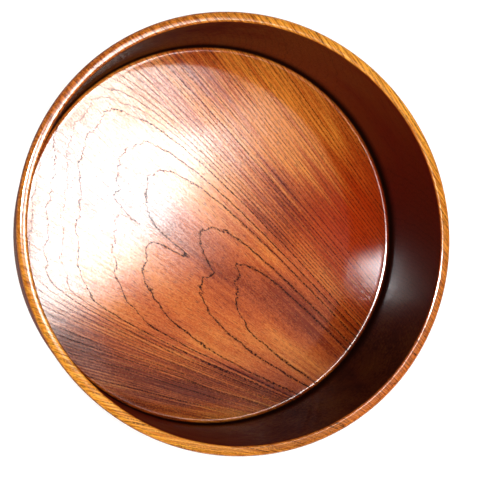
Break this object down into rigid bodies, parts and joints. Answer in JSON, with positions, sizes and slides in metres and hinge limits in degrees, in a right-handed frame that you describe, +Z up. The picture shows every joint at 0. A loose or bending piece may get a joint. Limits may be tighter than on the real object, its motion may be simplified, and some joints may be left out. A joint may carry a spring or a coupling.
{
  "type": "tea utensil chest",
  "caption": "Round open chest for tea utensils, turned from zelkova and finished with wiped lacquer, with its loose over-lid, which doubles as a tray, laid beside it.",
  "frame": {"origin": "on the table, in the middle of the footprint of the chest and the lid that lies beside it", "axes": "+Z up, +X from the chest towards the lid"},
  "size_m": [0.7229, 0.3164, 0.112],
  "materials": {
    "body_zelkova": "wiped transparent lacquer, semi-gloss",
    "lid_zelkova": "wiped transparent lacquer, semi-gloss"
  },
  "bodies": {
    "chest": {"chest_body": "body_zelkova"},
    "lid": {"lid": "lid_zelkova"}
  },
  "joints": [
    {"name": "lid_lift", "type": "slide", "parent": "chest", "child": "lid", "axis": [0, 0, 1], "range_m": [0, 0.13]}
  ]
}
